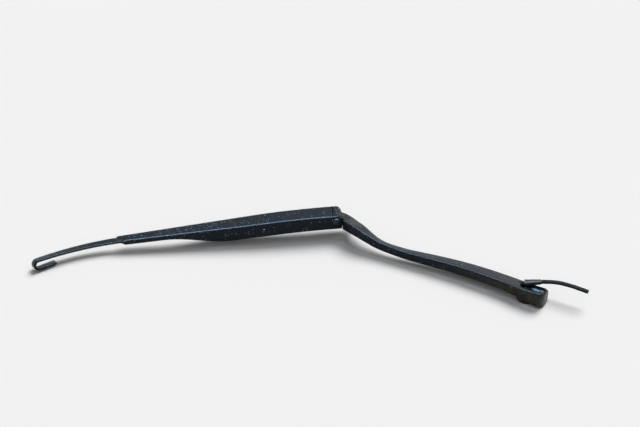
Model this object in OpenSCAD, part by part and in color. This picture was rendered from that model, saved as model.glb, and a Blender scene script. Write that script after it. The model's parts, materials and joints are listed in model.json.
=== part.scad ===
/* [Hinge] */
// Distance from the spindle axis to the hinge pin, seen from above
reach = 239.6; // [228:0.2:254]
// Angle between the forearm's chord and the X axis
reach_turn = 20.7; // [16:0.1:24]
// Height of the hinge pin above the mounting face
hinge_z = 25; // [24:0.5:27]
// Diameter of the hinge pin
pin_d = 5; // [4.4:0.1:5.4]
// Diameter of the riveted heads of the hinge pin
pin_head_d = 9.2; // [7:0.1:10]
// Radius of the knuckle round the hinge pin
knuckle_r = 6.9; // [6.5:0.1:7]
// Thickness of the washers beside the knuckle
washer_t = 0.45; // [0.3:0.05:0.6]

/* [Channel] */
// Angle between the channel and the X axis, seen from above
arm_turn = 14.8; // [10:0.2:20]
// Length of the channel from the hinge pin to its crimped end
channel_len = 252; // [243:1:273]
// Width of the channel at the hinge
channel_w = 21; // [20:0.2:24]
// Width of the channel at its crimped end
channel_end_w = 11.9; // [11.8:0.1:15]
// Thickness of the pressed sheet
sheet = 1.2; // [1:0.1:1.3]
// Outside radius of the folds between roof and walls
fold_r = 2.4; // [2:0.1:2.8]
// Height of the roof above the hinge pin
roof_rise = 7.3; // [7.2:0.1:8]
// Radius of the arch over the first part of the channel
arch_r = 1000; // [700:50:1600]
// Depth of the walls where they hold the spring
wall_depth = 18.2; // [17.6:0.2:20]

/* [Blade rod] */
// Width of the flat rod that carries the blade
rod_w = 9; // [8:0.1:9.2]
// Thickness of the flat rod
rod_t = 3; // [2.6:0.1:3.2]
// Length of the rod from the hinge pin to the start of the hook's bend
rod_reach = 342; // [323:1:353]
// Sideways turn of the rod's end against the channel
rod_turn = 26; // [10:1:30]
// Twist of the rod's end about its own length
rod_twist = 20; // [0:1:30]
// Free gap inside the hook
hook_gap = 6.6; // [5.5:0.1:9]
// Length of the hook's lower leg
hook_leg = 20; // [14:1:26]

/* [Forearm] */
// Width of the casting beside the knuckle
neck_w = 19.4; // [18.6:0.2:20.4]
// Width of the casting at its waist
waist_w = 10.6; // [10.4:0.2:13]
// Corner radius of the head's end
head_corner = 6.5; // [4:0.5:8]
// Width of the head round the spindle
head_w = 23; // [22.6:0.2:26]
// Thickness of the casting's walls
cast_wall = 2.4; // [2:0.1:2.5]
// Distance from the spindle axis to the end of the head
head_end = 22.5; // [22:0.5:26]
// Sideways slope of the casting's top face
top_slope = 0.31; // [0.2:0.01:0.34]

/* [Spindle seat] */
// Diameter of the boss under the head
boss_d = 21.6; // [19:0.2:22.4]
// Thickness of the floor that the nut clamps
seat_z = 9; // [8:0.5:10]
// Diameter of the bore that the spindle goes into
bore_d = 10; // [8:0.1:11]
// Diameter of the recess for the nut
recess_d = 17.4; // [16.6:0.2:17.8]

/* [Spring] */
// Distance from the hinge pin to the spring's anchor pin
anchor_s = 84; // [81:1:98]
// Depth of the anchor pin below the hinge pin
anchor_drop = 6.2; // [5.8:0.2:7]
// Diameter of the anchor pin
anchor_d = 4; // [3.6:0.1:4.4]
// Outside diameter of the tension spring
spring_d = 10.4; // [9:0.2:11]
// Diameter of the spring wire
wire_d = 2; // [1.6:0.1:2.2]
// Diameter of the cross pin that holds the link
link_pin_d = 4; // [3.6:0.1:4.2]
// Thickness of the link plate
link_t = 3; // [2.4:0.1:3.4]

/* [Hose] */
// Outside diameter of the washer hose
hose_d = 4.5; // [4:0.1:4.8]
// Diameter of the rubber guide at the head
guide_d = 8.2; // [7.4:0.1:8.4]
// Length of each clip along the hose
clip_len = 6; // [5:0.5:8]

/* [Hidden] */

fit = 0.05;
seat = 0.15;
through = 1;
round_fn = 48;
fold_angles = [0, 30, 60, 90];

hinge = [-reach * cos(reach_turn), reach * sin(reach_turn), hinge_z];
knuckle_w = channel_w - 2 * sheet - 2 * washer_t - 6 * fit;
link_at = [-4.5, -6];
link_len = 13;
ear_r = link_pin_d / 2 + 2.2;
slot_w = link_t + 1.2;
bush_wall = 1;

function mix(a, b, f) = a + (b - a) * f;
function unit(v) = v / norm(v);
function heading(a) = [cos(a), sin(a), 0];
function aside(a) = [-sin(a), cos(a), 0];

// A smooth line through the knots, with t counting knots.
function smooth(knots, t) =
    let (last = len(knots) - 1, k = min(floor(t), last - 1), f = t - k,
         a = knots[max(k - 1, 0)], b = knots[k], c = knots[k + 1], d = knots[min(k + 2, last)])
    b + ((c - a) * f + (2 * a - 5 * b + 4 * c - d) * f * f + (3 * b - a - 3 * c + d) * f * f * f) / 2;

// A solid through rings that all have the same number of points, each one counterclockwise when the
// rings come toward the eye. An end is one face, or a row of
// four-sided faces where the ring runs out along one line and back along another.
module loft(rings, folded = false) {
    n = len(rings[0]);
    last = len(rings) - 1;
    sides = [for (i = [0:last - 1], j = [0:n - 1]) each [
        [i * n + j, (i + 1) * n + j, (i + 1) * n + (j + 1) % n],
        [i * n + j, (i + 1) * n + (j + 1) % n, i * n + (j + 1) % n]]];
    half = n / 2;
    near = folded ? [for (j = [0:half - 2]) [j, j + 1, n - 2 - j, n - 1 - j]] : [[for (j = [0:n - 1]) j]];
    far = [for (face = near) [for (j = [len(face) - 1:-1:0]) last * n + face[j]]];
    polyhedron([for (r = rings) each r], concat(sides, near, far));
}

// A round rod of the given radius along a list of points, with its rings square to the line.
module rod_along(points, r, sides) {
    last = len(points) - 1;
    loft([for (i = [0:last])
        let (dir = unit(points[min(i + 1, last)] - points[max(i - 1, 0)]),
             side = unit(cross([0.13, 0.21, 1], dir)), up = cross(dir, side))
        [for (j = [0:sides - 1]) let (g = 360 * j / sides) points[i] + r * (cos(g) * side + sin(g) * up)]]);
}

module in_arm() translate(hinge) rotate([0, 0, arm_turn]) children();
module across(x, z) translate([x, 0, z]) rotate([90, 0, 0]) children();

// FOREARM CASTING
// Each knot: distance from the hinge, step aside from the chord, width, near top edge, lower edge, slope.
forearm_knots = [
    [0, 0, knuckle_w - 1.2, hinge_z + 4.4, hinge_z - 6.3, 0],
    [7.8, 4.2, knuckle_w - 0.8, hinge_z + 2.8, hinge_z - 8.5, 0.6 * top_slope],
    [14.5, 3.2, neck_w, hinge_z + 2.8, hinge_z - 10.2, 1.15 * top_slope],
    [22.5, 0.2, neck_w - 0.4, hinge_z + 3.4, hinge_z - 9.6, 1.3 * top_slope],
    [34.5, -3.6, neck_w - 2.4, 28.4, 15.3, 1.36 * top_slope],
    [46.5, -6.2, mix(waist_w, neck_w, 0.44), 25.2, 13.2, 1.5 * top_slope],
    [58.5, -7.6, mix(waist_w, neck_w, 0.16), 21.5, 10.2, 1.55 * top_slope],
    [71.6, -8.2, waist_w, 19.2, 8.7, 1.35 * top_slope],
    [95.6, -6.5, mix(waist_w, head_w, 0.12), 17.7, 7.3, 1.1 * top_slope],
    [120.6, -3.5, mix(waist_w, head_w, 0.28), 18.2, 7, top_slope],
    [145.6, -0.8, mix(waist_w, head_w, 0.43), 19, 7.2, top_slope],
    [169.5, 1, mix(waist_w, head_w, 0.6), 19.4, 7.4, top_slope],
    [194.5, 2, mix(waist_w, head_w, 0.76), 19.4, 7.6, 1.05 * top_slope],
    [218.5, 1.8, mix(waist_w, head_w, 0.93), 19.8, 7.6, 1.15 * top_slope],
    [239.6, 0, head_w, 20.9, 6, 1.2 * top_slope],
    [252.6, 0, head_w, 21.3, 2.6, 1.2 * top_slope]];
forearm_last = len(forearm_knots) - 1;
chord = heading(-reach_turn);

function forearm_at(t) = smooth(forearm_knots, t);
// The root of the neck stays by the hinge, the neck has its own length, and the rest stretches with
// the reach.
neck_len = 58.5;
function forearm_way(s) =
    lookup(s, [[0, 0], [14.5, 14.5], [58.5, neck_len], [239.6, reach], [252.6, reach + 13]]);
function forearm_place(k) = [hinge.x, hinge.y, 0] + chord * forearm_way(k[0]) + aside(-reach_turn) * k[1];
function forearm_turn(t) =
    let (d = forearm_place(forearm_at(min(t + 0.1, forearm_last)))
             - forearm_place(forearm_at(max(t - 0.1, 0))))
    t < 0.8 ? arm_turn : mix(arm_turn, atan2(d.y, d.x), min(1, (t - 0.8) / 1.4));

// Section of the casting in its own plane: a is sideways, the pair gives a and the height.
function cast_section(w, near_top, low, slope, r) =
    let (top = function(a) near_top - (a + w / 2) * slope)
    concat([[-w / 2, low]],
        [for (g = fold_angles) let (a = -w / 2 + r * (1 - cos(g)))
            [a, top(a) - r * (1 - sin(g))]],
        [for (g = fold_angles) let (a = w / 2 - r * (1 - sin(g)))
            [a, top(a) - r * (1 - cos(g))]],
        [[w / 2, low]]);

function cast_ring(place, turn, section) = [for (i = [len(section) - 1:-1:0])
    [place.x, place.y, 0] + aside(turn) * section[i][0] + [0, 0, section[i][1]]];

// The end of the head with its rounded corners, as rings that get narrower.
head_r = head_w / 2;
head_last = forearm_knots[forearm_last];
head_angles = [0, 18, 36, 54, 72, 88];
function head_ring(g) =
    let (x = head_end - head_corner * (1 - sin(g)), w = 2 * (head_r - head_corner * (1 - cos(g))),
         centre_top = head_last[3] - head_w / 2 * head_last[5] - 1.5 * (1 - cos(g)))
    cast_ring(chord * x, -reach_turn,
        cast_section(w, centre_top + w / 2 * head_last[5], mix(0.6, 2.4, cos(g)), head_last[5], 2));

module casting_outside() {
    loft(concat(
        [for (i = [0.12:0.34:forearm_last - 0.3]) let (k = forearm_at(i))
            cast_ring(forearm_place(k), forearm_turn(i), cast_section(k[2], k[3], k[4], k[5], 2))],
        [for (g = head_angles) head_ring(g)]));
}

// The hollow under the forearm, open below.
module casting_hollow() {
    loft([for (i = concat([2.25], [for (i = [2.6:0.5:forearm_last - 1.8]) i]))
        let (k = forearm_at(i), w = k[2] - 2 * cast_wall)
        cast_ring(forearm_place(k), forearm_turn(i),
            cast_section(w, k[3] - cast_wall - cast_wall * k[5], -2, k[5], 0.8))]);
}

// The knuckle between the channel's walls, with the ears for the cross pin.
module knuckle() {
    across(0, 0) translate([0, 0, -knuckle_w / 2]) linear_extrude(knuckle_w) {
        circle(knuckle_r, $fn = round_fn);
        translate(link_at) circle(ear_r, $fn = round_fn);
        polygon([[0, 0], [-knuckle_r, -1], [link_at.x - ear_r * 0.96, link_at.y + 1],
                 [link_at.x, link_at.y - ear_r * 0.96], [1, -knuckle_r * 0.98]]);
        polygon([[0, knuckle_r * 0.8], [0, -knuckle_r * 0.9], [7, -6.6], [7, 3.6]]);
    }
}

module link_slot() {
    across(0, 0) translate([0, 0, -slot_w / 2]) linear_extrude(slot_w) {
        translate(link_at) circle(ear_r + 0.4, $fn = round_fn);
        translate([-16, -16]) square([16 - pin_d / 2 - 0.6, 32]);
    }
}

module bore_across(x, z, d, w) across(x, z) cylinder(h = w, d = d, center = true, $fn = round_fn);

guide_from = [-3, 8.2, 13.8];
guide_to = [14.8, 8.7, 17.4];
guide_len = norm(guide_to - guide_from);
module along_guide() {
    d = guide_to - guide_from;
    translate(guide_from) rotate([0, 0, atan2(d.y, d.x)]) rotate([0, acos(d.z / norm(d)), 0]) children();
}

module recess() {
    translate([0, 0, seat_z]) linear_extrude(head_w) rotate(-reach_turn)
        hull() for (x = [0.4, head_end - 2.4 - recess_d / 2])
            translate([x, 0]) circle(d = recess_d, $fn = 40);
}

// The hollow under the floor that the nut clamps, with the boss standing in it.
module under_head() {
    translate([0, 0, -through]) linear_extrude(seat_z - 2.6 + through) rotate(-reach_turn)
        hull() for (x = [-8, head_end - head_r]) translate([x, 0]) circle(head_r - cast_wall, $fn = 32);
}

module arm_head() {
    color("#1d2024") difference() {
        union() {
            difference() {
                casting_outside();
                casting_hollow();
                under_head();
            }
            in_arm() knuckle();
            cylinder(h = seat_z - 0.8, d = boss_d, $fn = round_fn);
        }
        recess();
        translate([0, 0, -through]) cylinder(h = seat_z + 2 * through, d = bore_d, $fn = round_fn);
        along_guide() cylinder(h = guide_len + 6, d = guide_d + 2 * seat, $fn = round_fn);
        along_guide() translate([0, 0, -18]) cylinder(h = 20, d = hose_d + 1, $fn = round_fn);
        in_arm() {
            bore_across(0, 0, pin_d + 2 * bush_wall + 2 * fit, channel_w + 4);
            bore_across(link_at.x, link_at.y, link_pin_d + 2 * fit, channel_w + 4);
            link_slot();
        }
    }
}

module pin_bushes() {
    bush_len = (knuckle_w - slot_w) / 2 - 0.5;
    color("#b9a46a") in_arm() for (side = [-1, 1])
        translate([0, side * (knuckle_w / 2 - bush_len / 2 - 0.1), 0]) across(0, 0) difference() {
            cylinder(h = bush_len, d = pin_d + 2 * bush_wall, center = true, $fn = round_fn);
            cylinder(h = bush_len + 2, d = pin_d + 2 * fit, center = true, $fn = round_fn);
        }
}

module link_pin() {
    color("#6f757b") in_arm() across(link_at.x, link_at.y)
        cylinder(h = knuckle_w - 0.4, d = link_pin_d, center = true, $fn = round_fn);
}

// SPINDLE END OF THE HOSE
module hose_guide() {
    color("#2b3036") along_guide() difference() {
        cylinder(h = guide_len, d1 = guide_d, d2 = hose_d + 1, $fn = round_fn);
        translate([0, 0, -through])
            cylinder(h = guide_len + 2 * through, d = hose_d + 2 * fit, $fn = round_fn);
    }
}

tail_points = [[15.1, 8.7, 17.5], [19.7, 8.4, 18.2], [24, 8, 18.9], [28.3, 7.4, 19.5], [32.6, 6.6, 20],
    [37, 5.5, 20.4], [41.3, 4, 20.7], [45.7, 2.5, 20.9], [50, 1, 20.9], [54.4, -0.6, 20.8],
    [58.7, -2.1, 20.6], [63.1, -3.6, 20.3], [65.8, -4.5, 20.1]];
module hose_tail() color("#17191c") rod_along(tail_points, hose_d / 2, 10);

// Centre line of the hose under the forearm, from the hinge to the guide.
function under_forearm(t) = let (k = forearm_at(t))
    forearm_place(k) + [0, 0, min(10.1 + 2.35 * (t - 2),
        k[3] - cast_wall - k[2] / 2 * k[5] - hose_d / 2 - 0.7)];
hinge_hose_z = -ear_r + link_at.y - hose_d / 2 - 0.6;
hose_side = channel_w / 2 - sheet - hose_d / 2 - 0.6;
hose_way = unit(guide_to - guide_from);
module head_hose() {
    color("#17191c") rod_along(concat(
        [for (p = [[13, 0, 0], [15.5, -0.2, 0], [19.5, -2.4, 0.1]])
            hinge + heading(arm_turn) * p.x + aside(arm_turn) * (hose_side + p.y)
            + [0, 0, hinge_hose_z + p.z]],
        [for (t = [3.4:0.5:12.4]) under_forearm(t)],
        [for (i = [18, 12, 6, 0]) guide_from - hose_way * i],
        [mix(guide_from, guide_to, 0.5), guide_to]), hose_d / 2, 10);
}

module head_clips() {
    color("#2a2c2e") for (t = [6.5, 10.5])
        let (k = forearm_at(t), p = under_forearm(t), w = k[2] - 2 * cast_wall)
        translate(p) rotate([0, 0, forearm_turn(t)]) difference() {
            translate([-clip_len / 2, -w / 2 + 2 * seat, -hose_d / 2 - 1.8])
                cube([clip_len, w - 4 * seat, hose_d / 2 + 1.8]);
            rotate([0, 90, 0]) cylinder(h = 3 * clip_len, d = hose_d + 1.2, center = true, $fn = round_fn);
        }
}

// CHANNEL
function roof_drop(s) = let (a = 80, d = max(s - 3, 0))
    d < a ? d * d / 2 / arch_r : a * a / 2 / arch_r + (d - a) * a / arch_r;
function roof(s) = roof_rise - roof_drop(s);
function channel_width(s) =
    s < 88 ? channel_w : mix(channel_w, channel_end_w, (s - 88) / (channel_len - 88));
crimp_s = channel_len - 54;
tongue_len = 10;
lip_h = 2 * sheet + rod_t + 2 * seat;
function wall_low(s) = roof(s) - (s < 121 ? wall_depth :
    s > crimp_s ? lip_h : mix(lip_h, wall_depth, (1 + cos(180 * (s - 121) / (crimp_s - 121))) / 2));

function channel_section(w, top, low) =
    let (r = fold_r, q = fold_r - sheet,
         outer = concat([[-w / 2, low]],
             [for (g = fold_angles) [-w / 2 + r * (1 - cos(g)), top - r * (1 - sin(g))]],
             [for (g = fold_angles) [w / 2 - r * (1 - sin(g)), top - r * (1 - cos(g))]],
             [[w / 2, low]]),
         v = w / 2 - sheet, u = top - sheet,
         inner = concat([[-v, low]],
             [for (g = fold_angles) [-v + q * (1 - cos(g)), u - q * (1 - sin(g))]],
             [for (g = fold_angles) [v - q * (1 - sin(g)), u - q * (1 - cos(g))]],
             [[v, low]]))
    concat(outer, [for (i = [len(inner) - 1:-1:0]) inner[i]]);

module channel_blank() {
    stations = concat([-10, -2, 5], [for (s = [13:12:121]) s], [for (s = [125:6:crimp_s]) s],
                      [for (i = [0:4]) mix(crimp_s + 3, channel_len, i / 4)]);
    loft([for (s = stations)
             [for (p = channel_section(channel_width(s), roof(s), wall_low(s))) [-s, p[0], p[1]]]], true);
}

// What is cut from the walls at the hinge: they end in a lobe round the pin and a rounded corner.
lobe_r = knuckle_r - 0.1;
module channel_end_cut() {
    across(0, 0) translate([0, 0, -20]) linear_extrude(40) difference() {
        translate([-1.2, -16]) square([18, 30]);
        circle(lobe_r, $fn = round_fn);
        hull() {
            translate([-14, -16]) square([10, 15.9]);
            for (y = [-2, roof_rise - wall_depth + 1.5])
                translate([lobe_r - 1.7, y]) circle(1.5, $fn = 32);
        }
    }
}

// The walls run out in a curve towards the tongue, which narrows to the rod and is coined thinner.
coined = 0.65 * sheet;
coined_slope = 0.13;
module tongue_cuts() {
    end_z = roof(channel_len);
    translate([-channel_len, channel_w / 2, end_z]) rotate([90, 0, 0]) linear_extrude(channel_w)
        polygon([[-1, -coined - coined_slope], [2 * tongue_len, 2 * tongue_len * coined_slope - coined],
                 [2 * tongue_len, 4], [-1, 4]]);
    translate([-channel_len, channel_w / 2, end_z]) rotate([90, 0, 0]) linear_extrude(channel_w)
        polygon([[-1, -sheet - 0.3], [0.3 * tongue_len, -sheet - 0.9], [0.65 * tongue_len, -0.55 * lip_h],
                 [tongue_len, 0.5 - lip_h], [tongue_len, -14], [-1, -14]]);
    for (side = [0, 1]) mirror([0, side, 0])
        translate([-channel_len, 0, end_z - 14]) linear_extrude(20)
            polygon([[-1, rod_w / 2 + 0.1], [tongue_len, channel_end_w / 2 + 0.4],
                     [tongue_len, channel_w], [-1, channel_w]]);
}

module arm_channel() {
    color("#23272d") in_arm() difference() {
        union() {
            channel_blank();
            crimp_lips();
        }
        channel_end_cut();
        tongue_cuts();
        translate([-4, -channel_w / 2 + sheet + 0.1, roof_rise - sheet - 1.3])
            cube([20, channel_w - 2 * sheet - 0.2, 10]);
        bore_across(0, 0, pin_d + 2 * fit, channel_w + 4);
        bore_across(-anchor_s, -anchor_drop, anchor_d + 2 * fit, channel_w + 4);
    }
}

// The two lips folded in under the rod.
module crimp_lips() {
    lip_w = 2.4;
    from = crimp_s + 10;
    to = channel_len - tongue_len - 1;
    for (side = [0, 1]) mirror([0, side, 0]) loft([for (s = [from, to])
        let (v = channel_width(s) / 2 - sheet, z = wall_low(s) - 0.1)
        [for (p = [[v - lip_w, z], [v - lip_w, z + sheet], [v + sheet / 2, z + sheet], [v + sheet / 2, z]])
            [-s, p[0], p[1]]]]);
}

module hinge_pin() {
    color("#2a2d31") in_arm() across(0, 0) {
        cylinder(h = channel_w + 1, d = pin_d, center = true, $fn = round_fn);
        for (side = [0, 1]) mirror([0, 0, side]) translate([0, 0, channel_w / 2])
            rotate_extrude($fn = round_fn) let (r = pin_head_d / 2)
                polygon([[0, 0], [r, 0], [r, 0.7], [r - 0.7, 1.5], [0, 1.9]]);
    }
}

module hinge_washers() {
    color("#c9c6bd") in_arm() for (side = [-1, 1])
        translate([0, side * (knuckle_w / 2 + washer_t / 2 + 1.5 * fit), 0]) across(0, 0) difference() {
            cylinder(h = washer_t, r = knuckle_r - 2.2, center = true, $fn = round_fn);
            cylinder(h = washer_t + 2, d = pin_d + 4 * fit, center = true, $fn = round_fn);
        }
}

module spring_anchor() {
    color("#4b5056") in_arm() across(-anchor_s, -anchor_drop) {
        cylinder(h = channel_w + 0.8, d = anchor_d, center = true, $fn = round_fn);
        for (side = [0, 1]) mirror([0, 0, side]) translate([0, 0, channel_w / 2])
            cylinder(h = 0.7, d1 = anchor_d + 1.2, d2 = anchor_d, $fn = round_fn);
    }
}

// BLADE ROD
rod_from = crimp_s - 4;
rod_bend = channel_len - 6;
hook_r = (hook_gap + rod_t) / 2;
function rod_bit(s) = max(0, min(1, (s - rod_bend) / (rod_reach - rod_bend)));
// Turn grows evenly from the channel's end, so the side step is its sum along the rod.
function rod_aside(s) = -(rod_reach - rod_bend) * (rod_bit(s) * rod_bit(s) / 2) * tan(rod_turn);
function rod_head(s) = rod_turn * rod_bit(s);
// The rod leaves the channel along its roof and then flattens out.
rod_fall = 80 / arch_r;
rod_lift = 0.00067;
function rod_z(s) = let (d = max(0, s - rod_bend))
    roof(min(s, rod_bend)) - sheet - seat - rod_t / 2 - rod_fall * d + rod_lift * d * d;
function rod_side(s) = let (h = rod_head(s), w = rod_roll(s)) [-sin(h) * cos(w), cos(h) * cos(w), -sin(w)];
function rod_roll(s) = rod_twist * rod_bit(s);
function rod_dir(s) = -heading(rod_head(s));
function rod_up(s) = unit(cross(rod_side(s), rod_dir(s)));

function rod_ring(at, side, up) = let (c = 0.7, a = rod_w / 2, b = rod_t / 2)
    [for (p = [[-a, -b + c], [-a, b - c], [-a + c, b], [a - c, b],
               [a, b - c], [a, -b + c], [a - c, -b], [-a + c, -b]])
        at + side * p[0] + up * p[1]];

hook_start = [-rod_reach, rod_aside(rod_reach), rod_z(rod_reach)];
hook_side = rod_side(rod_reach);
hook_up = rod_up(rod_reach);
hook_dir = rod_dir(rod_reach);
hook_centre = hook_start - hook_up * hook_r;
module blade_rod() {
    color("#23272d") in_arm() loft(concat(
        [for (i = [0:18]) let (s = mix(rod_from, rod_reach, i / 18))
            rod_ring([-s, rod_aside(s), rod_z(s)], rod_side(s), rod_up(s))],
        [for (a = [15:15:180]) let (out = hook_up * cos(a) + hook_dir * sin(a))
            rod_ring(hook_centre + out * hook_r, hook_side, out)],
        [for (x = [hook_leg / 2, hook_leg])
            rod_ring(hook_centre - hook_up * hook_r - hook_dir * x, hook_side, -hook_up)]));
}

// HOSE ALONG THE CHANNEL
nozzle_s = 135;
nozzle_len = 18;
nozzle_z = roof(nozzle_s) - sheet - 4.6;
module arm_hose() {
    color("#17191c") in_arm() rod_along(concat(
        [for (p = [[-12.2, -13], [-14.4, -12.9], [-18.2, -10.6], [-23.4, -5.2], [-29, 0], [-36, 2.4]])
            [p[0], hose_side, p[0] > -16 ? hinge_hose_z : p[1]]],
        [for (s = [46:12:106]) [-s, channel_width(s) / 2 - sheet - hose_d / 2 - 0.4,
            roof(s) - sheet - hose_d / 2 - 0.4]],
        [for (p = [[10, 2.5, 0.6], [4, 0, 0], [0.1, 0, 0]])
            [-nozzle_s + nozzle_len / 2 + p.x, p.y, nozzle_z + p.z]]), hose_d / 2, 10);
}

module arm_clips() {
    color("#2a2c2e") in_arm() for (s = [52, 98])
        let (v = channel_width(s) / 2 - sheet - hose_d / 2 - 0.4, z = roof(s) - sheet - hose_d / 2 - 0.4)
            translate([-s, v, z]) difference() {
                translate([-clip_len / 2, -hose_d / 2 - 1.7, -hose_d / 2 - 1.4])
                    cube([clip_len, hose_d + 1.9, hose_d + 1.5]);
                rotate([0, 90, 0]) cylinder(h = 3 * clip_len, d = hose_d + 1, center = true, $fn = round_fn);
                translate([-1.5 * clip_len, 0, -0.6]) cube([3 * clip_len, hose_d, hose_d]);
            }
}

module hinge_hose() {
    color("#17191c") in_arm() rod_along(
        [for (x = [12.6, 6, 0, -6, -11.6]) [x, hose_side, hinge_hose_z]], hose_d / 2, 10);
}

jet_d = 2.6;
jet_gap = 9;
module spray_nozzle() {
    half = channel_width(nozzle_s + nozzle_len / 2) / 2 - sheet - seat;
    nozzle_top = roof(nozzle_s + nozzle_len / 2) - sheet - seat;
    color("#26282b") in_arm() difference() {
        union() {
            translate([-nozzle_s - nozzle_len / 2, -half, nozzle_top - 8])
                cube([nozzle_len, 2 * half, 8 - fold_r]);
            translate([-nozzle_s - nozzle_len / 2, -half + fold_r, nozzle_top - 8])
                cube([nozzle_len, 2 * (half - fold_r), 8]);
        }
        for (x = [-jet_gap / 2, jet_gap / 2])
            translate([-nozzle_s + x, 0, roof(nozzle_s + nozzle_len / 2) - sheet - seat - 8 - through])
                cylinder(h = 2.6 + through, d = jet_d + 0.2, $fn = 24);
        translate([-nozzle_s + nozzle_len / 2 - 4, 0, nozzle_z]) rotate([0, 90, 0])
            cylinder(h = 6, d = 2.4, $fn = 24);
    }
}

module nozzle_jets() {
    color("#a98f52") in_arm() for (x = [-jet_gap / 2, jet_gap / 2])
        translate([-nozzle_s + x, 0, roof(nozzle_s + nozzle_len / 2) - sheet - seat - 7.1])
            sphere(d = jet_d, $fn = 24);
}

// SPRING AND LINK
link_z = link_at.y;
link_slope = atan2(anchor_drop + link_at.y, anchor_s + link_at.x);
module in_link() in_arm() translate([link_at.x, 0, link_z]) rotate([0, -link_slope, 0]) children();
line_len = norm([anchor_s + link_at.x, anchor_drop + link_at.y]);
hook_hole_d = wire_d + 1.8;

module spring_link() {
    eye_r = link_pin_d / 2 + 1.9;
    color("#5b6167") in_link() rotate([90, 0, 0]) translate([0, 0, -link_t / 2])
        linear_extrude(link_t) difference() {
        union() {
            circle(eye_r, $fn = round_fn);
            translate([-link_len, 0]) circle(3.3, $fn = round_fn);
            translate([-link_len, -2.2]) square([link_len, 4.4]);
        }
        circle(d = link_pin_d + 2 * fit, $fn = round_fn);
        translate([-link_len, 0]) circle(d = hook_hole_d, $fn = round_fn);
    }
}

coil_r = (spring_d - wire_d) / 2;
coil_from = link_len + 20;
coil_to = line_len - 11;
coil_pitch = wire_d * 1.22;
turns = floor((coil_to - coil_from) / coil_pitch);
per_turn = 12;
rear_r = 2.8;
// The front hook has play round the anchor pin, because the link swings a little lower than the pin
// when the arm is raised.
front_r = anchor_d / 2 + wire_d / 2 + 1;
front_at = line_len - 0.65;
// The rear hook lies flat and passes through the link. The front one stands up and goes round the
// anchor pin.
spring_points = concat(
    [for (a = [-150:30:90]) [-link_len - rear_r + rear_r * cos(a), -rear_r * sin(a), 0]],
    [[-link_len - rear_r - 3, -rear_r * 0.9, 0.4], [-coil_from + 1.6, -coil_r * 0.85, 0.6]],
    [for (i = [0:turns * per_turn]) let (a = 360 * i / per_turn)
        [-coil_from - coil_pitch * i / per_turn, -coil_r * cos(a), coil_r * sin(a)]],
    [[-coil_from - coil_pitch * turns - 2, -coil_r * 0.7, 1.5],
     [-front_at + front_r + 2.4, -0.6, front_r]],
    [for (a = [90:30:300]) [-front_at + front_r * cos(a), 0, front_r * sin(a)]]);
module tension_spring() color("#7b8187") in_link() rod_along(spring_points, wire_d / 2, 6);

arm_head();
pin_bushes();
link_pin();
hose_guide();
hose_tail();
head_hose();
head_clips();
hinge_hose();
arm_channel();
hinge_pin();
hinge_washers();
spring_anchor();
blade_rod();
arm_hose();
arm_clips();
spray_nozzle();
nozzle_jets();
spring_link();
tension_spring();
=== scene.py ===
"""Looks of a wiper arm with a cast head, a hinged channel, a hooked blade rod and a washer hose."""

import json
import math

import bmesh
import bpy
from bpy.props import FloatProperty, FloatVectorProperty, PointerProperty
from mathutils import Matrix, Vector


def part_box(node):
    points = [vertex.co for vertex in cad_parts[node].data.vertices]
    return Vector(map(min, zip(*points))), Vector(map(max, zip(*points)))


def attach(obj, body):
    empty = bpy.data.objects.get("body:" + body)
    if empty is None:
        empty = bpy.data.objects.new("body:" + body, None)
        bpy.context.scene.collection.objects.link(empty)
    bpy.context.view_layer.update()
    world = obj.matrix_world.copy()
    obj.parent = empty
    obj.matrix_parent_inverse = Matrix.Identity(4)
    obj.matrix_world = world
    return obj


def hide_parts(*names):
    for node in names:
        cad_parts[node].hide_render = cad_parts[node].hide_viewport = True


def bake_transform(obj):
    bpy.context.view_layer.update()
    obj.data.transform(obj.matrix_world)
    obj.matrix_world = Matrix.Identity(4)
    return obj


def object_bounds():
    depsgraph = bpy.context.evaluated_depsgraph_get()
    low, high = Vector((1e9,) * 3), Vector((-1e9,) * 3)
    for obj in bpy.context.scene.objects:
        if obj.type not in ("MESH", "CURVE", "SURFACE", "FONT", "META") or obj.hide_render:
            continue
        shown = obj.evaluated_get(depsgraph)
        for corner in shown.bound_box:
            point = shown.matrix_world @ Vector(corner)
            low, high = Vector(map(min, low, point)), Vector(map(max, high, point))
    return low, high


bl_info = {
    "name": "Wiper Arm",
    "version": (1, 0, 0),
    "blender": (4, 5, 0),
    "location": "View3D > Sidebar > Wiper Arm",
    "description": "Makes the finish, hose, spring and stage of a wiper arm around its solids",
    "category": "Object",
}

MM = 0.001
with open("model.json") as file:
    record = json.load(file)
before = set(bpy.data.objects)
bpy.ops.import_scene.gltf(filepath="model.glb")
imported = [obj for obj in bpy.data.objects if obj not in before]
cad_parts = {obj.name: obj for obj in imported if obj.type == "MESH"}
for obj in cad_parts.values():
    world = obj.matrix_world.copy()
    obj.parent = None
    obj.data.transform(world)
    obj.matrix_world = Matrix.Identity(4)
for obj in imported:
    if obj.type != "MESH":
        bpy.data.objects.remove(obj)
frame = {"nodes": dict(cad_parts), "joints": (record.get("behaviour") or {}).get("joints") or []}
cad_low, cad_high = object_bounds()

# The joints give the cross pin's place, the way of the hinge pin, the level way along the arm towards
# the head, and the way from the cross pin to the pin that holds the spring.
JOINTS = {j["name"]: j for j in frame["joints"]}
LINK_AT = Vector(JOINTS["link_hinge"]["pos_m"])
PIN_WAY = Vector(JOINTS["arm_hinge"]["axis"]).normalized()
ARM_WAY = Vector((PIN_WAY.y, -PIN_WAY.x, 0))
PULL_WAY = Vector(JOINTS["spring_stretch"]["axis"]).normalized()

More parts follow.
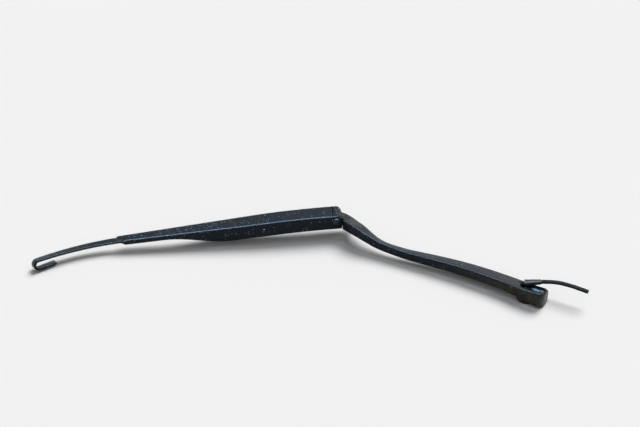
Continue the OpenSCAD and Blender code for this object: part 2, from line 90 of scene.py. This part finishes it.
# The photograph's view: where its camera stood and the way it looked.
CAMERA_AT = Vector((-49.7, -1301.9, 1120.3)) * MM
CAMERA_RIGHT = Vector((0.9905, 0.1374, 0.0))
CAMERA_UP = Vector((-0.0846, 0.6098, 0.7880))
CAMERA_LENS = 86.5
CAMERA_SENSOR = 36.0

# The free end of the hose, point by point, as in the part's source.
TAIL_POINTS = [
    Vector(p) * MM
    for p in (
        (15.1, 8.7, 17.5), (19.7, 8.4, 18.2), (24, 8, 18.9), (28.3, 7.4, 19.5), (32.6, 6.6, 20),
        (37, 5.5, 20.4), (41.3, 4, 20.7), (45.7, 2.5, 20.9), (50, 1, 20.9), (54.4, -0.6, 20.8),
        (58.7, -2.1, 20.6), (63.1, -3.6, 20.3), (65.8, -4.5, 20.1),
    )
]
TAIL_STEPS = 4

# The hose at the hinge is a little longer than its solid, so that it ends inside the hose before and
# after it, and a hair thinner, so that their skins stay apart.
HINGE_HOSE_HALF = 12.6 * MM
HINGE_HOSE_FIT = 0.995
HINGE_HOSE_STEPS = 16

# An edge stays sharp where the surface turns by more than this, in degrees.
PART_TURN = 35
SHELL_TURN = 38
ROD_TURN = 30
TAIL_TURN = 40
TUBE_TURN = 50

HOSE_SIDES = 24
WIRE_SIDES = 10
BORE_DEPTH_IN_RADII = 3

# Corners of a solid's mesh that are nearer than the first become one, and edges shorter than the
# second go, as do the doubles of a tube.
SAME_CORNER = 0.002 * MM
TINY_EDGE = 0.001 * MM

# The spring's coils lie a hair apart: their pitch in wire diameters. The front hook's centre lies
# back from the pin's by the given share of its play, so that its bend all but bears on the pin. The
# hooks bend through the given degrees.
COIL_PITCH = 1.22
COIL_STEPS = 24
HOOK_BACK = 0.65
REAR_HOOK_TURNS = range(-150, 91, 12)
FRONT_HOOK_TURNS = range(90, 301, 12)

# How far up a painted face looks, as the height of its normal: a wall, and a top.
WALL_LOOKS_UP = 0.25
TOP_LOOKS_UP = 0.8

# Sizes of the paint's patterns in millimetres: cloudy tone, earthy film, the ragged rims of specks
# and how far they stray, and the depth of the orange peel.
CLOUD_MM = 22
FILM_MM = 11
RAG_MM = 0.35
RAG_STRAY_MM = 0.9
PEEL_DEPTH_MM = 0.05
PEEL_STRENGTH = 0.25

# How much less and more rough the paint is in the peel's hollows and on its crests.
PEEL_SMOOTHER = 0.06
PEEL_ROUGHER = 0.1

# Noise keeps near its middle, so each pattern has its two ends at these values of it.
CLOUD_ENDS = (0.3, 0.72)
FILM_ENDS = (0.2, 0.75)
GRAIN_ENDS = (0.3, 0.7)

# Pale grit on the whole paint, and settled dust, most of it on top. The cell is the room of a speck, the
# share says how many cells hold one, and the reach is the largest speck's radius in cells. Real dust
# is finer. It is drawn in specks of up to 1 mm, because finer ones would not show.
GRIT_CELL_MM = 2.0
GRIT_SHARE = 0.12
GRIT_REACH = 0.26
GRIT_COLOUR = "#a3aeb8"
DUST_CELL_MM = 1.2
DUST_SHARE_ON_WALL = 0.14
DUST_SHARE_ON_TOP = 0.42
DUST_REACH = 0.34
DUST_COLOUR = "#a9b6c3"

# The dust comes in over the first length and thins to the given part of it over the second.
DUST_COMES_MM = 30
DUST_THINS_MM = 90
DUST_THINNED = 0.35

# The paint mirrors light a little bluer than it is.
PAINT_SHEEN = "#b9d6f5"

# The fine grain of rubber, plastic and bare metal.
GRAIN_DEPTH_MM = 0.04
GRAIN_DARKER = 0.75
GRAIN_ROUGHER = 0.08

# The stage, in millimetres but for the floor, which is in metres from its middle to its edge.
FLOOR_HALF = 6.0
SURROUNDINGS = "#f1f1f1"
KEY_FROM = Vector((0.32, 0.62, 0.95))
KEY_SPREAD_DEG = 34
AIM_AT = Vector((-200, 20, 20)) * MM
STRIP_AT = (-250, -120, 800)
STRIP_SIZE = (1500, 60)
STRIP_TINT = "#dbe8f5"
REAR_AT = (-480, 1100, 900)
REAR_SIZE = (800, 900)
REAR_TINT = "#e2ebf4"


# Colours and materials


def linear(hex_colour):
    """An sRGB hex colour as a linear one with alpha."""
    values = [int(hex_colour[i:i + 2], 16) / 255 for i in (1, 3, 5)]
    return [v / 12.92 if v <= 0.04045 else ((v + 0.055) / 1.055) ** 2.4 for v in values] + [1.0]


def scale_for(size_mm):
    """A pattern's scale from the size of its features."""
    return 1 / (size_mm * MM)


def add(tree, kind, inputs=None, **settings):
    """Adds a node to a tree. An input is a value, or an output socket to link from."""
    made = tree.nodes.new(kind)
    for key, value in settings.items():
        setattr(made, key, value)
    for key, value in (inputs or {}).items():
        if isinstance(value, bpy.types.NodeSocket):
            tree.links.new(value, made.inputs[key])
        else:
            made.inputs[key].default_value = value
    return made


def new_material(name):
    """An empty node material and its output."""
    made = bpy.data.materials.new(name)
    made.use_nodes = True
    made.node_tree.nodes.clear()
    return made, made.node_tree, made.node_tree.nodes.new("ShaderNodeOutputMaterial")


def ramp(tree, value, ends, colours):
    """A colour between two others, by where a value lies between its two ends."""
    made = add(tree, "ShaderNodeValToRGB", {"Fac": value})
    for element, place, colour in zip(made.color_ramp.elements, ends, colours):
        element.position, element.color = place, colour
    return made.outputs["Color"]


def painted(name, colour, lighter, earth, roughness, grain_mm, shine=0.2, earthy=None, dusty=None):
    """Satin black enamel baked on metal: a dark coat with an orange-peel skin, an earthy film on its
    walls, scattered pale grit and settled dust. Given two X places, earthy says between which ones the
    film grows to its full strength, and dusty between which ones the dust comes and thins out."""
    made, tree, output = new_material(name)
    own = add(tree, "ShaderNodeTexCoord").outputs
    place = own["Object"]
    along = add(tree, "ShaderNodeSeparateXYZ", {"Vector": place})
    facing = add(tree, "ShaderNodeSeparateXYZ", {"Vector": own["Normal"]})
    upward = add(tree, "ShaderNodeMapRange", {
        "Value": facing.outputs["Z"], "From Min": WALL_LOOKS_UP, "From Max": TOP_LOOKS_UP})

    cloud = add(tree, "ShaderNodeTexNoise", {
        "Vector": place, "Scale": scale_for(CLOUD_MM), "Detail": 4.0})
    tone = ramp(tree, cloud.outputs["Fac"], CLOUD_ENDS, (linear(colour), linear(lighter)))

    film = add(tree, "ShaderNodeTexNoise", {
        "Vector": place, "Scale": scale_for(FILM_MM), "Detail": 6.0})
    film = add(tree, "ShaderNodeMapRange", {
        "Value": film.outputs["Fac"], "From Min": FILM_ENDS[0], "From Max": FILM_ENDS[1]})
    on_wall = add(tree, "ShaderNodeMath", {0: 1.0, 1: upward.outputs["Result"]}, operation="SUBTRACT")
    film = add(tree, "ShaderNodeMath", {0: film.outputs["Result"], 1: on_wall.outputs[0]},
               operation="MULTIPLY")
    if earthy:
        low, high = (end * MM for end in earthy)
        grows = add(tree, "ShaderNodeMapRange", {
            "Value": along.outputs["X"], "From Min": low, "From Max": high})
        film = add(tree, "ShaderNodeMath", {0: film.outputs[0], 1: grows.outputs["Result"]},
                   operation="MULTIPLY")
    coat = add(tree, "ShaderNodeMix", {"Factor": film.outputs[0], "A": tone, "B": linear(earth)},
               data_type="RGBA")

    ragged = add(tree, "ShaderNodeTexNoise", {
        "Vector": place, "Scale": scale_for(RAG_MM), "Detail": 2.0})
    ragged = add(tree, "ShaderNodeVectorMath", {0: ragged.outputs["Color"], 1: (0.5, 0.5, 0.5)},
                 operation="SUBTRACT")
    ragged = add(tree, "ShaderNodeVectorMath", {
        0: ragged.outputs["Vector"], "Scale": RAG_STRAY_MM * MM}, operation="SCALE")
    ragged = add(tree, "ShaderNodeVectorMath", {0: ragged.outputs["Vector"], 1: place},
                 operation="ADD")

    def specks(cell_mm, share, reach, pale, under):
        """Pale ragged specks of many sizes, one in each cell that the share picks."""
        cells = add(tree, "ShaderNodeTexVoronoi", {
            "Vector": ragged.outputs["Vector"], "Scale": scale_for(cell_mm)})
        chance = add(tree, "ShaderNodeSeparateColor", {"Color": cells.outputs["Color"]})
        picked = add(tree, "ShaderNodeMath", {0: chance.outputs["Red"], 1: share},
                     operation="LESS_THAN")
        radius = add(tree, "ShaderNodeMath", {0: chance.outputs["Green"], 1: reach},
                     operation="MULTIPLY")
        inside = add(tree, "ShaderNodeMath", {0: cells.outputs["Distance"], 1: radius.outputs[0]},
                     operation="LESS_THAN")
        speck = add(tree, "ShaderNodeMath", {0: picked.outputs[0], 1: inside.outputs[0]},
                    operation="MULTIPLY")
        mixed = add(tree, "ShaderNodeMix", {
            "Factor": speck.outputs[0], "A": under, "B": linear(pale)}, data_type="RGBA")
        return mixed.outputs["Result"]

    top = specks(GRIT_CELL_MM, GRIT_SHARE, GRIT_REACH, GRIT_COLOUR, coat.outputs["Result"])
    if dusty:
        low, high = (end * MM for end in dusty)
        comes = add(tree, "ShaderNodeMapRange", {
            "Value": along.outputs["X"], "From Min": low, "From Max": low + DUST_COMES_MM * MM})
        thins = add(tree, "ShaderNodeMapRange", {
            "Value": along.outputs["X"], "From Min": high - DUST_THINS_MM * MM, "From Max": high,
            "To Min": 1.0, "To Max": DUST_THINNED})
        here = add(tree, "ShaderNodeMath", {0: comes.outputs["Result"], 1: thins.outputs["Result"]},
                   operation="MULTIPLY")
        settled = add(tree, "ShaderNodeMapRange", {
            "Value": upward.outputs["Result"], "To Min": DUST_SHARE_ON_WALL,
            "To Max": DUST_SHARE_ON_TOP})
        share = add(tree, "ShaderNodeMath", {0: here.outputs[0], 1: settled.outputs["Result"]},
                    operation="MULTIPLY")
        top = specks(DUST_CELL_MM, share.outputs[0], DUST_REACH, DUST_COLOUR, top)

    peel = add(tree, "ShaderNodeTexNoise", {
        "Vector": place, "Scale": scale_for(grain_mm), "Detail": 3.0})
    rough = add(tree, "ShaderNodeMapRange", {
        "Value": peel.outputs["Fac"], "To Min": roughness - PEEL_SMOOTHER,
        "To Max": roughness + PEEL_ROUGHER})
    bump = add(tree, "ShaderNodeBump", {
        "Height": peel.outputs["Fac"], "Strength": PEEL_STRENGTH, "Distance": PEEL_DEPTH_MM * MM})
    shader = add(tree, "ShaderNodeBsdfPrincipled", {
        "Base Color": top, "Roughness": rough.outputs["Result"], "Normal": bump.outputs["Normal"],
        "Specular IOR Level": shine, "Specular Tint": linear(PAINT_SHEEN)})
    tree.links.new(shader.outputs[0], output.inputs["Surface"])
    return made


def plain(name, colour, roughness, metallic=0.0, shine=0.35, grain_mm=0.8, strength=0.15):
    """One colour with a fine grain in its skin, for rubber, plastic or bare metal. The real grain is
    finer than 0.8 mm, which is as coarse as it needs to be to show in a close view."""
    made, tree, output = new_material(name)
    place = add(tree, "ShaderNodeTexCoord").outputs["Object"]
    grain = add(tree, "ShaderNodeTexNoise", {
        "Vector": place, "Scale": scale_for(grain_mm), "Detail": 4.0})
    dark = [v * GRAIN_DARKER for v in linear(colour)[:3]] + [1.0]
    tone = ramp(tree, grain.outputs["Fac"], GRAIN_ENDS, (dark, linear(colour)))
    rough = add(tree, "ShaderNodeMapRange", {
        "Value": grain.outputs["Fac"], "To Min": roughness - GRAIN_ROUGHER,
        "To Max": roughness + GRAIN_ROUGHER})
    bump = add(tree, "ShaderNodeBump", {
        "Height": grain.outputs["Fac"], "Strength": strength, "Distance": GRAIN_DEPTH_MM * MM})
    shader = add(tree, "ShaderNodeBsdfPrincipled", {
        "Base Color": tone, "Roughness": rough.outputs["Result"], "Normal": bump.outputs["Normal"],
        "Metallic": metallic, "Specular IOR Level": shine})
    tree.links.new(shader.outputs[0], output.inputs["Surface"])
    return made


# Shapes


def finish_mesh(name, bm, material, sharp_deg=PART_TURN):
    """A new object from a bmesh, with smooth faces and sharp edges where the surface turns."""
    mesh = bpy.data.meshes.new(name)
    bm.to_mesh(mesh)
    bm.free()
    mesh.shade_smooth()
    mesh.set_sharp_from_angle(angle=math.radians(sharp_deg))
    mesh.materials.append(material)
    made = bpy.data.objects.new(name, mesh)
    bpy.context.scene.collection.objects.link(made)
    even = made.modifiers.new("even_normals", "WEIGHTED_NORMAL")
    even.keep_sharp = True
    return made


def dress(node, material, piece, body, sharp_deg=PART_TURN):
    """A merged copy of a CAD node that stands for it, with its true edges and smooth round faces."""
    bm = bmesh.new()
    bm.from_mesh(frame["nodes"][node].data)
    bmesh.ops.remove_doubles(bm, verts=bm.verts, dist=SAME_CORNER)
    bmesh.ops.dissolve_degenerate(bm, edges=bm.edges, dist=TINY_EDGE)
    made = finish_mesh(piece, bm, material, sharp_deg)
    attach(made, body)
    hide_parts(node)
    return made


def curve_through(points, steps):
    """Points on a smooth line through the given ones."""
    out = []
    last = len(points) - 1
    for i in range(last):
        a, b, c, d = points[max(i - 1, 0)], points[i], points[i + 1], points[min(i + 2, last)]
        for k in range(steps):
            f = k / steps
            out.append(b + ((c - a) * f + (2 * a - 5 * b + 4 * c - d) * f * f
                            + (3 * b - a - 3 * c + d) * f ** 3) / 2)
    return out + [points[-1]]


def frames_along(points):
    """Placing matrices along a line, turned as little as possible from one to the next."""
    ways = [(points[min(i + 1, len(points) - 1)] - points[max(i - 1, 0)]).normalized()
            for i in range(len(points))]
    turn = ways[0].to_track_quat("Z", "Y")
    out = [Matrix.Translation(points[0]) @ turn.to_matrix().to_4x4()]
    for at, before, way in zip(points[1:], ways, ways[1:]):
        turn = before.rotation_difference(way) @ turn
        out.append(Matrix.Translation(at) @ turn.to_matrix().to_4x4())
    return out


def tube(points, radius, segments=HOSE_SIDES, bore=0.0):
    """A round hose or wire along a line, with an open bore at its far end where it has one."""
    places = frames_along(points)
    bm = bmesh.new()
    bmesh.ops.create_circle(bm, cap_ends=True, segments=segments, radius=radius, matrix=places[0])
    end = bm.faces[:][0]
    keep = bmesh.ops.duplicate(bm, geom=[end])
    start_cap = [g for g in keep["geom"] if isinstance(g, bmesh.types.BMFace)][0]
    start_cap.normal_flip()
    for before, after in zip(places, places[1:]):
        grown = bmesh.ops.extrude_discrete_faces(bm, faces=[end])
        end = grown["faces"][0]
        bmesh.ops.transform(bm, matrix=after @ before.inverted(), verts=end.verts[:])
    if bore:
        bmesh.ops.inset_individual(bm, faces=[end], thickness=radius - bore)
        grown = bmesh.ops.extrude_discrete_faces(bm, faces=[end])
        end = grown["faces"][0]
        back = places[-1].to_3x3() @ Vector((0, 0, -BORE_DEPTH_IN_RADII * radius))
        bmesh.ops.translate(bm, vec=back, verts=end.verts[:])
    bmesh.ops.remove_doubles(bm, verts=bm.verts, dist=TINY_EDGE)
    bmesh.ops.recalc_face_normals(bm, faces=bm.faces)
    return bm


# What a user may change


class HoseSettings(bpy.types.PropertyGroup):
    diameter: FloatProperty(name="Hose diameter", description="Outside diameter of the washer hose",
                            default=4.5 * MM, unit="LENGTH")
    bore: FloatProperty(name="Hose bore", description="Inside diameter of the hose",
                        default=2.4 * MM, unit="LENGTH")


class SpringSettings(bpy.types.PropertyGroup):
    diameter: FloatProperty(name="Spring diameter", description="Outside diameter of the coils",
                            default=10.4 * MM, unit="LENGTH")
    wire: FloatProperty(name="Wire", description="Diameter of the spring wire",
                        default=2 * MM, unit="LENGTH")
    link: FloatProperty(name="Link", description="Distance from the cross pin to the link's hole",
                        default=13 * MM, unit="LENGTH")
    lead: FloatProperty(name="Front lead",
                        description="Straight length from the coils to the anchor pin",
                        default=11 * MM, unit="LENGTH")
    rear_lead: FloatProperty(name="Rear lead", description="Straight length from the link to the coils",
                             default=20 * MM, unit="LENGTH")
    rear_hook: FloatProperty(name="Rear hook", description="Radius of the hook in the link",
                             default=2.8 * MM, unit="LENGTH")
    anchor_pin: FloatProperty(name="Anchor pin", description="Diameter of the pin that holds the spring",
                              default=4 * MM, unit="LENGTH")
    play: FloatProperty(name="Play", description="Room round the pin in the front hook, for the swing",
                        default=1 * MM, unit="LENGTH")


class StageSettings(bpy.types.PropertyGroup):
    key: FloatProperty(name="Key light", description="Strength of the soft key light", default=2.83)
    fill: FloatProperty(name="Fill light", description="Strength of the light from all round",
                        default=0.3)
    strip: FloatProperty(name="Overhead strip", description="Power of the strip that draws the edges",
                         default=70.0)
    rear: FloatProperty(name="Rear softbox", description="Power of the box mirrored in the top faces",
                        default=0.6)
    floor: FloatVectorProperty(name="Floor", description="Colour of the floor", subtype="COLOR",
                               size=4, default=linear("#f3f3f3"))


# Operators


class WIPER_OT_camera(bpy.types.Operator):
    """Sets the camera where the photograph was taken from"""

    bl_idname = "wiper.camera"
    bl_label = "Camera"

    def execute(self, context):
        data = bpy.data.cameras.new("photo_camera")
        data.lens, data.sensor_width = CAMERA_LENS, CAMERA_SENSOR
        data.clip_start, data.clip_end = 0.05, 50.0
        camera = bpy.data.objects.new("photo_camera", data)
        back = CAMERA_RIGHT.cross(CAMERA_UP)
        turn = Matrix((CAMERA_RIGHT, CAMERA_UP, back)).transposed()
        camera.matrix_world = Matrix.Translation(CAMERA_AT) @ turn.to_4x4()
        context.scene.collection.objects.link(camera)
        context.scene.camera = camera
        return {"FINISHED"}


class WIPER_OT_hose_tail(bpy.types.Operator):
    """Makes the free end of the washer hose that leaves the rubber guide at the head"""

    bl_idname = "wiper.hose_tail"
    bl_label = "Free hose end"

    def execute(self, context):
        hose = context.scene.wiper_hose
        line = curve_through(TAIL_POINTS, TAIL_STEPS)
        bm = tube(line, hose.diameter / 2, bore=hose.bore / 2)
        made = finish_mesh("hose_free_end", bm, RUBBER, TAIL_TURN)
        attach(made, "head")
        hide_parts("hose_tail")
        return {"FINISHED"}


class WIPER_OT_inner_hose(bpy.types.Operator):
    """Makes the washer hose that runs under the forearm, past the hinge and along the channel"""

    bl_idname = "wiper.inner_hose"
    bl_label = "Inner hose"

    def execute(self, context):
        dress("head_hose", RUBBER, "hose_under_forearm", "head", TUBE_TURN)
        dress("arm_hose", RUBBER, "hose_along_channel", "arm", TUBE_TURN)
        low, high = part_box("hinge_hose")
        middle = (low + high) / 2
        radius = context.scene.wiper_hose.diameter / 2
        points = [middle + ARM_WAY * HINGE_HOSE_HALF * (1 - 2 * i / HINGE_HOSE_STEPS)
                  for i in range(HINGE_HOSE_STEPS + 1)]
        made = finish_mesh("hose_past_hinge", tube(points, radius * HINGE_HOSE_FIT), RUBBER, TUBE_TURN)
        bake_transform(made)
        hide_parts("hinge_hose")
        return {"FINISHED"}


class WIPER_OT_metal(bpy.types.Operator):
    """Makes the painted casting, the channel, the blade rod and the rivets"""

    bl_idname = "wiper.metal"
    bl_label = "Painted metal"

    def execute(self, context):
        dress("arm_head", HEAD_ENAMEL, "cast_arm_head", "head", SHELL_TURN)
        dress("arm_channel", ARM_ENAMEL, "pressed_channel", "arm", SHELL_TURN)
        dress("blade_rod", ARM_ENAMEL, "hooked_blade_rod", "arm", ROD_TURN)
        dress("hinge_pin", PIN_ENAMEL_PAINTED_LIGHTER, "riveted_hinge_pin", "arm", ROD_TURN)
        dress("spring_anchor", PIN_ENAMEL_PAINTED_LIGHTER, "spring_anchor_pin", "arm", ROD_TURN)
        return {"FINISHED"}


class WIPER_OT_inner_parts(bpy.types.Operator):
    """Makes the bushes, washers, link, clips, nozzle and rubber guide"""

    bl_idname = "wiper.inner_parts"
    bl_label = "Inner parts"

    def execute(self, context):
        dress("pin_bushes", BRONZE, "oiled_bushes", "head")
        dress("link_pin", STEEL, "link_cross_pin", "head")
        dress("hose_guide", GUIDE_RUBBER, "rubber_hose_guide", "head")
        dress("head_clips", CLIP_PLASTIC, "hose_clips_in_head", "head")
        dress("hinge_washers", WASHER_PLASTIC, "plain_washers", "arm")
        dress("arm_clips", CLIP_PLASTIC, "hose_clips_in_channel", "arm")
        dress("spray_nozzle", CLIP_PLASTIC, "spray_nozzle_body", "arm")
        dress("nozzle_jets", BRONZE, "spray_jet_balls", "arm")
        dress("spring_link", STEEL, "spring_link_plate", "link")
        return {"FINISHED"}


class WIPER_OT_spring(bpy.types.Operator):
    """Winds the tension spring with its two hooks, from the link to the anchor pin"""

    bl_idname = "wiper.spring"
    bl_label = "Tension spring"

    def execute(self, context):
        spring = context.scene.wiper_spring
        low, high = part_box("spring_anchor")
        anchor = (low + high) / 2
        line = anchor - LINK_AT
        line -= line.dot(PIN_WAY) * PIN_WAY
        rise = PULL_WAY.cross(PIN_WAY)

        def at(along, side, up):
            """A place from the cross pin: along the spring, to its side and up from its line."""
            return LINK_AT + PULL_WAY * along - PIN_WAY * side + rise * up

        wire, hook = spring.wire, spring.rear_hook
        coil = (spring.diameter - wire) / 2
        front = spring.anchor_pin / 2 + wire / 2 + spring.play
        centre = line.length - HOOK_BACK * spring.play
        pitch = wire * COIL_PITCH
        turns = int((line.length - spring.lead - spring.rear_lead - spring.link) / pitch)
        first = spring.link + spring.rear_lead
        last = first + pitch * turns

        rear_hook = [at(spring.link + hook - hook * math.cos(a), hook * math.sin(a), 0)
                     for a in map(math.radians, REAR_HOOK_TURNS)]
        coils = [at(first + pitch * i / COIL_STEPS, coil * math.cos(a), coil * math.sin(a))
                 for i, a in ((i, math.radians(360 / COIL_STEPS * i))
                              for i in range(COIL_STEPS * turns + 1))]
        front_hook = [at(centre - front * math.cos(a), 0, front * math.sin(a))
                      for a in map(math.radians, FRONT_HOOK_TURNS)]

        # The wire swings out from the rear hook to the coils, and in from them to the front hook.
        swing_out = [at(spring.link + hook + 3 * MM, hook * 0.9, 0.4 * MM),
                     at(first - 1.6 * MM, coil * 0.85, 0.6 * MM)]
        swing_in = [at(last + 2 * MM, coil * 0.7, 1.5 * MM),
                    at(centre - front - 2.4 * MM, 0.6 * MM, front)]

        points = rear_hook + swing_out + coils + swing_in + front_hook
        bm = tube(points, wire / 2, WIRE_SIDES)
        made = finish_mesh("wound_tension_spring", bm, SPRING_STEEL, TUBE_TURN)
        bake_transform(made)
        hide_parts("tension_spring")
        return {"FINISHED"}


class WIPER_OT_stage(bpy.types.Operator):
    """Makes the pale floor and the soft light"""

    bl_idname = "wiper.stage"
    bl_label = "Stage"

    def execute(self, context):
        stage = context.scene.wiper_stage
        bm = bmesh.new()
        bmesh.ops.create_grid(bm, x_segments=1, y_segments=1, size=FLOOR_HALF,
                              matrix=Matrix.Translation((0, 0, cad_low.z)))
        # Sheet of uncoated paper: matt, so that only the shadow shows on it.
        material, tree, output = new_material("pale_paper_floor")
        shader = add(tree, "ShaderNodeBsdfDiffuse", {"Color": list(stage.floor)})
        tree.links.new(shader.outputs[0], output.inputs["Surface"])
        floor = finish_mesh("floor", bm, material)

        # The camera, glossy faces and glass see pale surroundings, and all else gets the fill from them.
        world = bpy.data.worlds.new("studio")
        context.scene.world = world
        world.use_nodes = True
        tree = world.node_tree
        tree.nodes.clear()
        path = add(tree, "ShaderNodeLightPath")
        seen = path.outputs["Is Camera Ray"]
        for kind in ("Is Glossy Ray", "Is Transmission Ray"):
            either = add(tree, "ShaderNodeMath", {0: seen, 1: path.outputs[kind]}, operation="MAXIMUM")
            seen = either.outputs[0]
        strength = add(tree, "ShaderNodeMapRange", {"Value": seen, "To Min": stage.fill, "To Max": 1.0})
        light = add(tree, "ShaderNodeBackground", {
            "Color": linear(SURROUNDINGS), "Strength": strength.outputs["Result"]})
        output = add(tree, "ShaderNodeOutputWorld")
        tree.links.new(light.outputs[0], output.inputs["Surface"])

        lamp = bpy.data.lights.new("soft_key", "SUN")
        lamp.energy, lamp.angle = stage.key, math.radians(KEY_SPREAD_DEG)
        key = bpy.data.objects.new("soft_key", lamp)
        key.rotation_mode = "QUATERNION"
        key.rotation_quaternion = KEY_FROM.normalized().to_track_quat("Z", "Y")
        context.scene.collection.objects.link(key)

        for name, at, size, power, tint in (
            ("overhead_strip", STRIP_AT, STRIP_SIZE, stage.strip, STRIP_TINT),
            ("rear_softbox", REAR_AT, REAR_SIZE, stage.rear, REAR_TINT),
        ):
            lamp = bpy.data.lights.new(name, "AREA")
            lamp.shape, lamp.size, lamp.size_y = "RECTANGLE", size[0] * MM, size[1] * MM
            lamp.energy, lamp.color = power, linear(tint)[:3]
            box = bpy.data.objects.new(name, lamp)
            box.location = Vector(at) * MM
            box.rotation_mode = "QUATERNION"
            aim = box.location - AIM_AT
            box.rotation_quaternion = aim.normalized().to_track_quat("Z", "Y")
            box.visible_diffuse = False
            context.scene.collection.objects.link(box)
        return {"FINISHED"}


OPERATORS = (WIPER_OT_camera, WIPER_OT_hose_tail, WIPER_OT_inner_hose, WIPER_OT_metal,
             WIPER_OT_inner_parts, WIPER_OT_spring, WIPER_OT_stage)


class WIPER_PT_panel(bpy.types.Panel):
    """Lists what the arm is made of"""

    bl_idname = "WIPER_PT_panel"
    bl_label = "Wiper Arm"
    bl_space_type = "VIEW_3D"
    bl_region_type = "UI"
    bl_category = "Wiper Arm"

    def draw(self, context):
        for operator in OPERATORS:
            self.layout.operator(operator.bl_idname)


SETTINGS = {"wiper_hose": HoseSettings, "wiper_spring": SpringSettings, "wiper_stage": StageSettings}


def register():
    for kind in (*SETTINGS.values(), *OPERATORS, WIPER_PT_panel):
        bpy.utils.register_class(kind)
    for name, kind in SETTINGS.items():
        setattr(bpy.types.Scene, name, PointerProperty(type=kind))


def unregister():
    for name in SETTINGS:
        delattr(bpy.types.Scene, name)
    for kind in reversed((*SETTINGS.values(), *OPERATORS, WIPER_PT_panel)):
        bpy.utils.unregister_class(kind)


# What each material really is, and what that gives the eye

# Black enamel, sprayed on pressed steel and baked: nearly black, soft sheen, a bright line on folds.
ARM_ENAMEL = painted("baked_satin_enamel_on_steel", "#06090d", "#0c1218", "#12110c", roughness=0.3,
                     grain_mm=0.7, dusty=(-490, -270))

# The same enamel on a casting: a coarser peel, and walls that turn brown with dirt towards the head.
HEAD_ENAMEL = painted("baked_satin_enamel_on_casting", "#06080a", "#0c0f13", "#3f3b2d", roughness=0.27,
                      grain_mm=0.9, earthy=(-130, -10), dusty=(-262, -110))

# Enamel on riveted steel heads: painted lighter and greyer as a highlight on their rims, with more
# shine.
PIN_ENAMEL_PAINTED_LIGHTER = painted("enamel_on_rivet_with_painted_highlight", "#1d242c", "#2b343e", "#14130f", roughness=0.2, grain_mm=0.6,
                     shine=0.45)

# Rubber, extruded as hose: matt black with hardly any sheen.
RUBBER = plain("extruded_rubber", "#07090b", roughness=0.62, shine=0.08)

# Rubber, moulded as a guide: smoother than the hose and bluish where it catches the light.
GUIDE_RUBBER = plain("moulded_rubber", "#151c24", roughness=0.5, shine=0.2)

# Nylon, moulded: black with a soft gloss.
CLIP_PLASTIC = plain("moulded_black_nylon", "#0e1012", roughness=0.5)

# Acetal, moulded without dye: milky white and waxy.
WASHER_PLASTIC = plain("natural_acetal", "#c9c6bd", roughness=0.45)

# Bronze, sintered and oiled: dull brown gold. The jet balls have it too.
BRONZE = plain("sintered_bronze", "#8d7443", roughness=0.45, metallic=1.0)

# Steel, stamped or turned and then phosphated: even grey with a dull shine.
STEEL = plain("phosphated_steel", "#5b6167", roughness=0.42, metallic=1.0)

# Spring steel, drawn to wire and oiled: darker grey with a sharper shine.
SPRING_STEEL = plain("oiled_spring_wire", "#4d5257", roughness=0.34, metallic=1.0)


def main():
    register()
    context = bpy.context
    context.scene.view_settings.view_transform = "Standard"
    bpy.ops.wiper.camera()
    bpy.ops.wiper.hose_tail()
    bpy.ops.wiper.inner_hose()
    bpy.ops.wiper.metal()
    bpy.ops.wiper.inner_parts()
    bpy.ops.wiper.spring()
    bpy.ops.wiper.stage()


if __name__ == "__main__":
    main()
